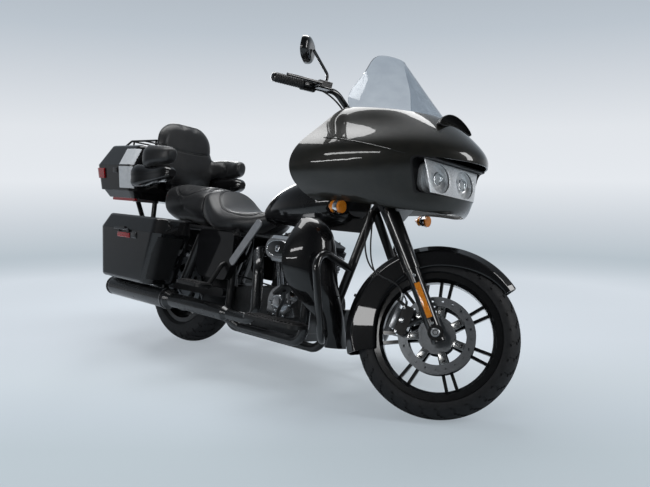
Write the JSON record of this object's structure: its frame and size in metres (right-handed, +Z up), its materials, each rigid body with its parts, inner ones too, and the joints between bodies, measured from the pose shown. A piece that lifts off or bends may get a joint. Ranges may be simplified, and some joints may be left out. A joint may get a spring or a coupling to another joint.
{
  "type": "touring motorcycle",
  "caption": "Two-cylinder touring cruiser motorcycle with a fixed fairing, panniers and top case, parked on its side stand with the fork turned left.",
  "frame": {"origin": "middle of the outer box's footprint, on the road, with the machine leaning on its side stand", "axes": "+X forward along the machine, +Y to the rider's left, +Z up"},
  "size_m": [2.6122, 0.9591, 1.4808],
  "materials": {
    "amber_lens": "clear",
    "belt_rubber": "matte",
    "black_plastic": "textured",
    "cast_wheel_black": "satin",
    "clear_lens": "clear",
    "disc_steel": "brushed",
    "engine_aluminium": "cast",
    "gloss_black_paint": "gloss",
    "gloss_black_plastic": "gloss",
    "grey_metallic": "satin",
    "grip_rubber": "ribbed",
    "polished_aluminium": "polished",
    "red_lens": "clear",
    "satin_black_metal": "satin",
    "seat_vinyl": "grained",
    "smoked_screen": "clear",
    "tyre_rubber": "matte"
  },
  "bodies": {
    "chassis": {"air_cleaner": "polished_aluminium", "air_deflectors": "grey_metallic", "backrest": "seat_vinyl", "cam_cover": "polished_aluminium", "crankcase": "engine_aluminium", "cylinders": "engine_aluminium", "dash": "black_plastic", "drive_belt": "belt_rubber", "engine_guard": "satin_black_metal", "exhaust": "satin_black_metal", "fairing_shell": "gloss_black_plastic", "foot_controls": "satin_black_metal", "frame": "satin_black_metal", "fuel_tank": "gloss_black_paint", "headlamp_bezel": "black_plastic", "headlamp_lenses": "clear_lens", "leg_shields": "gloss_black_plastic", "oil_cooler": "satin_black_metal", "pannier_left": "gloss_black_plastic", "pannier_right": "gloss_black_plastic", "passenger_seat": "seat_vinyl", "primary_cover": "engine_aluminium", "rear_fender": "gloss_black_paint", "rear_frame": "satin_black_metal", "rear_lamps": "red_lens", "rider_seat": "seat_vinyl", "rocker_covers": "polished_aluminium", "side_covers": "black_plastic", "swingarm": "satin_black_metal", "top_case": "gloss_black_plastic", "turn_lamps": "amber_lens", "windshield": "smoked_screen"},
    "fork": {"fork_legs": "satin_black_metal", "front_fender": "gloss_black_paint", "grips": "grip_rubber", "hand_controls": "satin_black_metal", "handlebar": "satin_black_metal", "triple_clamps": "satin_black_metal"},
    "front_wheel": {"front_discs": "disc_steel", "front_rim": "cast_wheel_black", "front_tyre": "tyre_rubber"},
    "fuel_door": {"fuel_door": "gloss_black_paint"},
    "pannier_lid_left": {"pannier_lid_left": "gloss_black_plastic"},
    "pannier_lid_right": {"pannier_lid_right": "gloss_black_plastic"},
    "passenger_board_left": {"passenger_board_left": "satin_black_metal"},
    "passenger_board_right": {"passenger_board_right": "satin_black_metal"},
    "rear_wheel": {"rear_disc": "disc_steel", "rear_rim": "cast_wheel_black", "rear_tyre": "tyre_rubber"},
    "rider_board_left": {"rider_board_left": "satin_black_metal"},
    "rider_board_right": {"rider_board_right": "satin_black_metal"},
    "side_stand": {"side_stand": "satin_black_metal"},
    "top_case_lid": {"luggage_rack": "satin_black_metal", "top_case_lid": "gloss_black_plastic"}
  },
  "joints": [
    {"name": "steering", "type": "hinge", "parent": "chassis", "child": "fork", "pos_m": [0.77288, 0.04992, 0.83739], "axis": [-0.4297, 0.1406, 0.892], "range_deg": [-62, 0]},
    {"name": "front_wheel_spin", "type": "hinge", "parent": "fork", "child": "front_wheel", "pos_m": [1.01615, -0.04251, 0.30288], "axis": [-0.4664, 0.8113, -0.3526], "continuous": true},
    {"name": "rear_wheel_spin", "type": "hinge", "parent": "chassis", "child": "rear_wheel", "pos_m": [-0.6108, -0.03455, 0.31748], "axis": [-0.0015, 0.9877, -0.1564], "continuous": true},
    {"name": "side_stand_swing", "type": "hinge", "parent": "chassis", "child": "side_stand", "pos_m": [0.38767, 0.13569, 0.15524], "axis": [0.109, 0.7527, 0.6493], "range_deg": [0, 99]},
    {"name": "top_case_lid_hinge", "type": "hinge", "parent": "chassis", "child": "top_case_lid", "pos_m": [-1.09774, 0.37237, 0.89058], "axis": [-1, 0, 0.0097], "range_deg": [0, 75]},
    {"name": "pannier_lid_left_hinge", "type": "hinge", "parent": "chassis", "child": "pannier_lid_left", "pos_m": [-0.70036, 0.43832, 0.51683], "axis": [-1, 0, 0.0097], "range_deg": [0, 105]},
    {"name": "pannier_lid_right_hinge", "type": "hinge", "parent": "chassis", "child": "pannier_lid_right", "pos_m": [-0.69903, -0.42294, 0.65323], "axis": [1, 0, -0.0097], "range_deg": [0, 105]},
    {"name": "fuel_door_hinge", "type": "hinge", "parent": "chassis", "child": "fuel_door", "pos_m": [0.33164, 0.0656, 0.94069], "axis": [-0.0015, 0.9877, -0.1564], "range_deg": [0, 90]},
    {"name": "rider_board_left_fold", "type": "hinge", "parent": "chassis", "child": "rider_board_left", "pos_m": [0.40043, 0.28848, 0.23318], "axis": [1, 0, -0.0097], "range_deg": [0, 30]},
    {"name": "passenger_board_left_fold", "type": "hinge", "parent": "chassis", "child": "passenger_board_left", "pos_m": [-0.10577, 0.2829, 0.31797], "axis": [1, 0, -0.0097], "range_deg": [0, 75]},
    {"name": "rider_board_right_fold", "type": "hinge", "parent": "chassis", "child": "rider_board_right", "pos_m": [0.40144, -0.36478, 0.33664], "axis": [-1, 0, 0.0097], "range_deg": [0, 30]},
    {"name": "passenger_board_right_fold", "type": "hinge", "parent": "chassis", "child": "passenger_board_right", "pos_m": [-0.10482, -0.3348, 0.4158], "axis": [-1, 0, 0.0097], "range_deg": [0, 75]}
  ]
}
